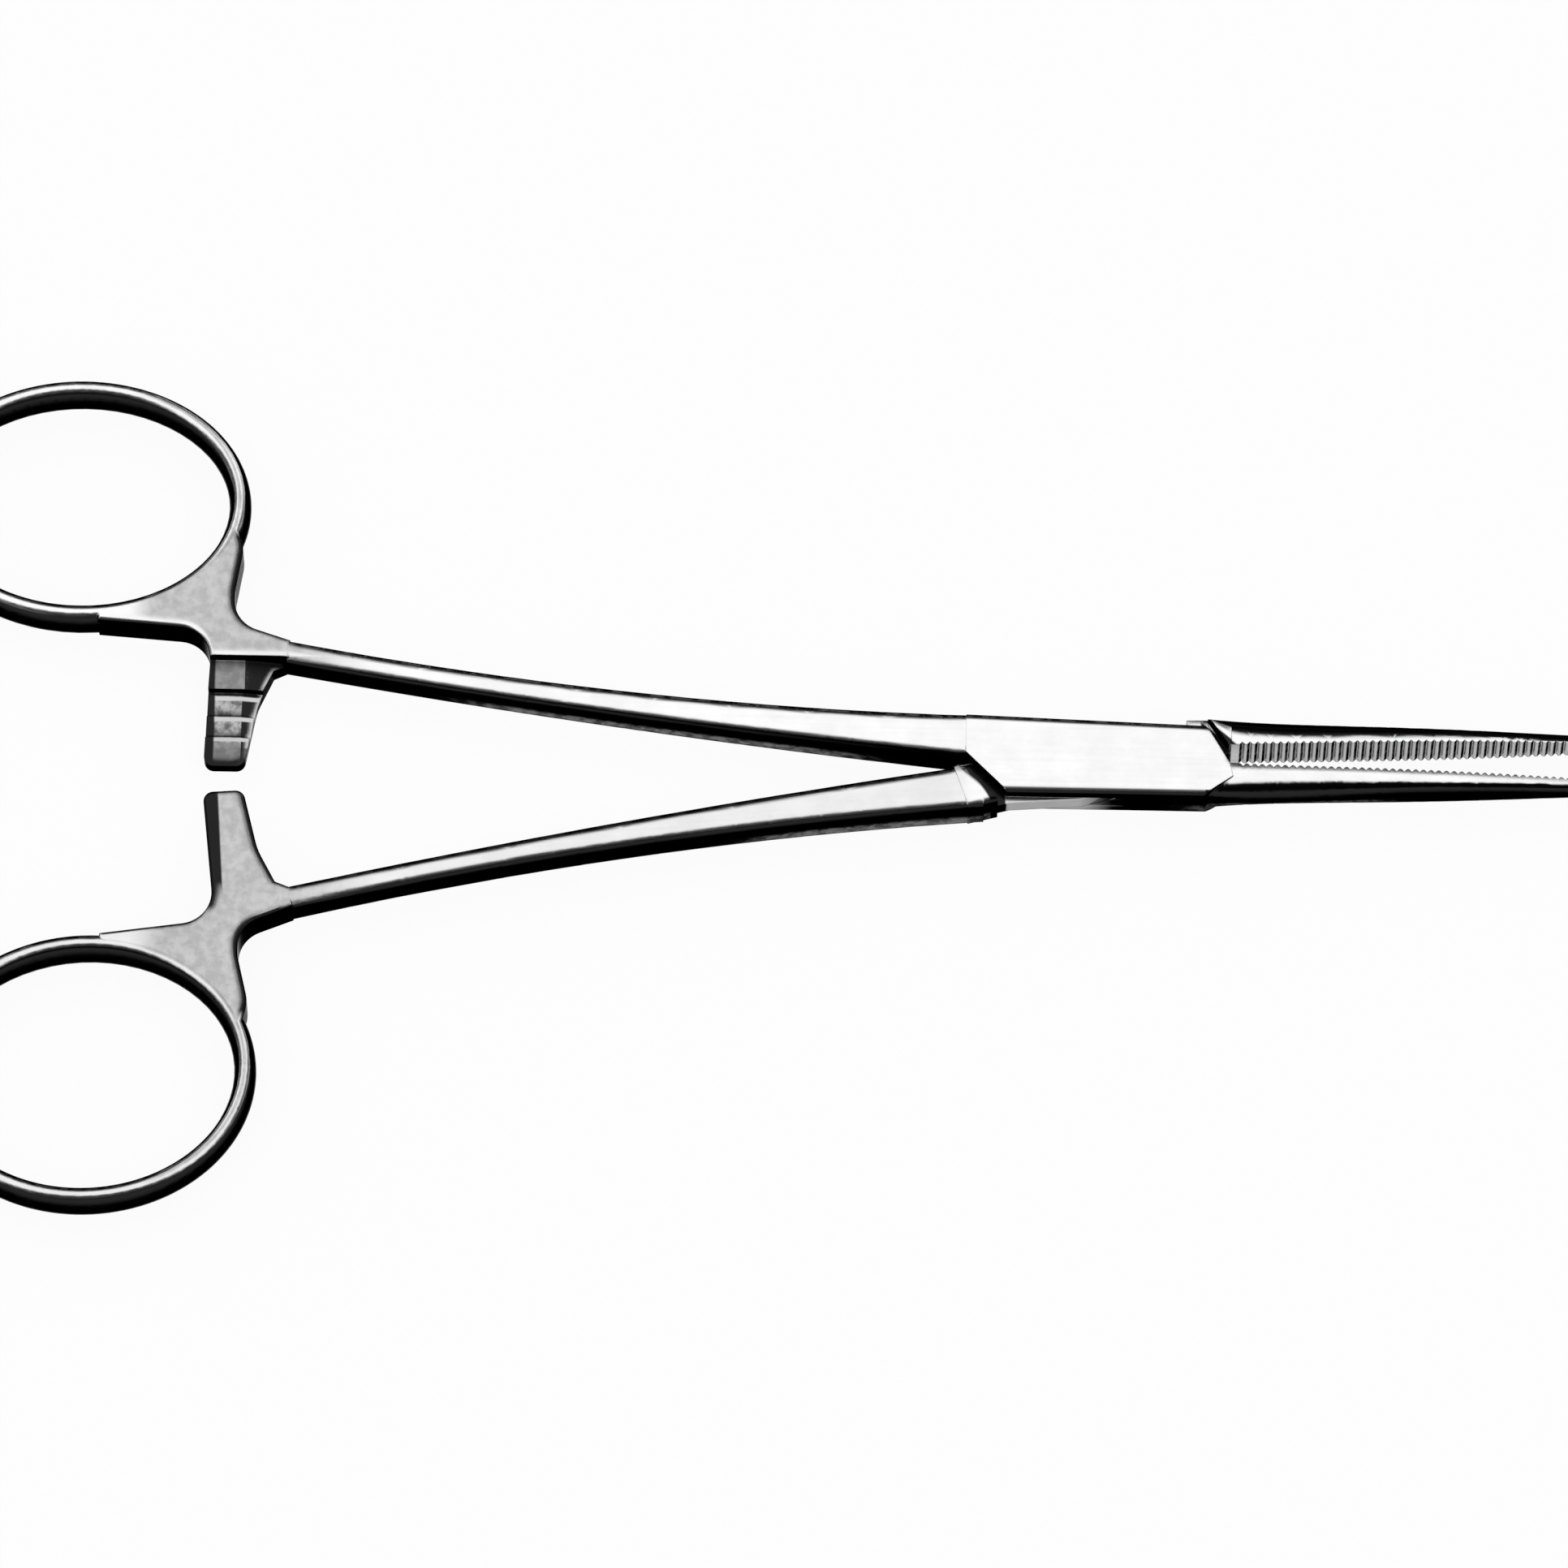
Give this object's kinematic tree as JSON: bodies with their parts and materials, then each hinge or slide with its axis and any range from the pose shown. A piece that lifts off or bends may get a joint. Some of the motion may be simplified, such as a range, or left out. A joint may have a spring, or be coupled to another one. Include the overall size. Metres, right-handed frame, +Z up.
{
  "type": "hemostatic forceps",
  "caption": "Straight haemostatic forceps with finger rings, ratchet bars, a box lock and tapering jaws grooved straight across.",
  "frame": {"origin": "On the pivot axis, at the underside of the box lock.", "axes": "+X runs along the forceps to the jaw tips, +Z is up along the pivot axis, +Y is the side of the ring on the box half."},
  "size_m": [0.1575, 0.0802, 0.0057],
  "materials": {
    "female_steel": "satin polished stainless steel, with a duller ground face on the ratchet web",
    "male_steel": "satin polished stainless steel, with a duller ground face on the ratchet web",
    "pin_steel": "satin stainless steel, ground flush with the box"
  },
  "bodies": {
    "female": {"female_half": "female_steel", "pivot_pin": "pin_steel"},
    "male": {"male_half": "male_steel"}
  },
  "joints": [
    {"name": "box_lock", "type": "hinge", "parent": "female", "child": "male", "pos_m": [0, 0, 0.00285], "axis": [0, 0, 1], "range_deg": [-4.1, 55.8]}
  ]
}
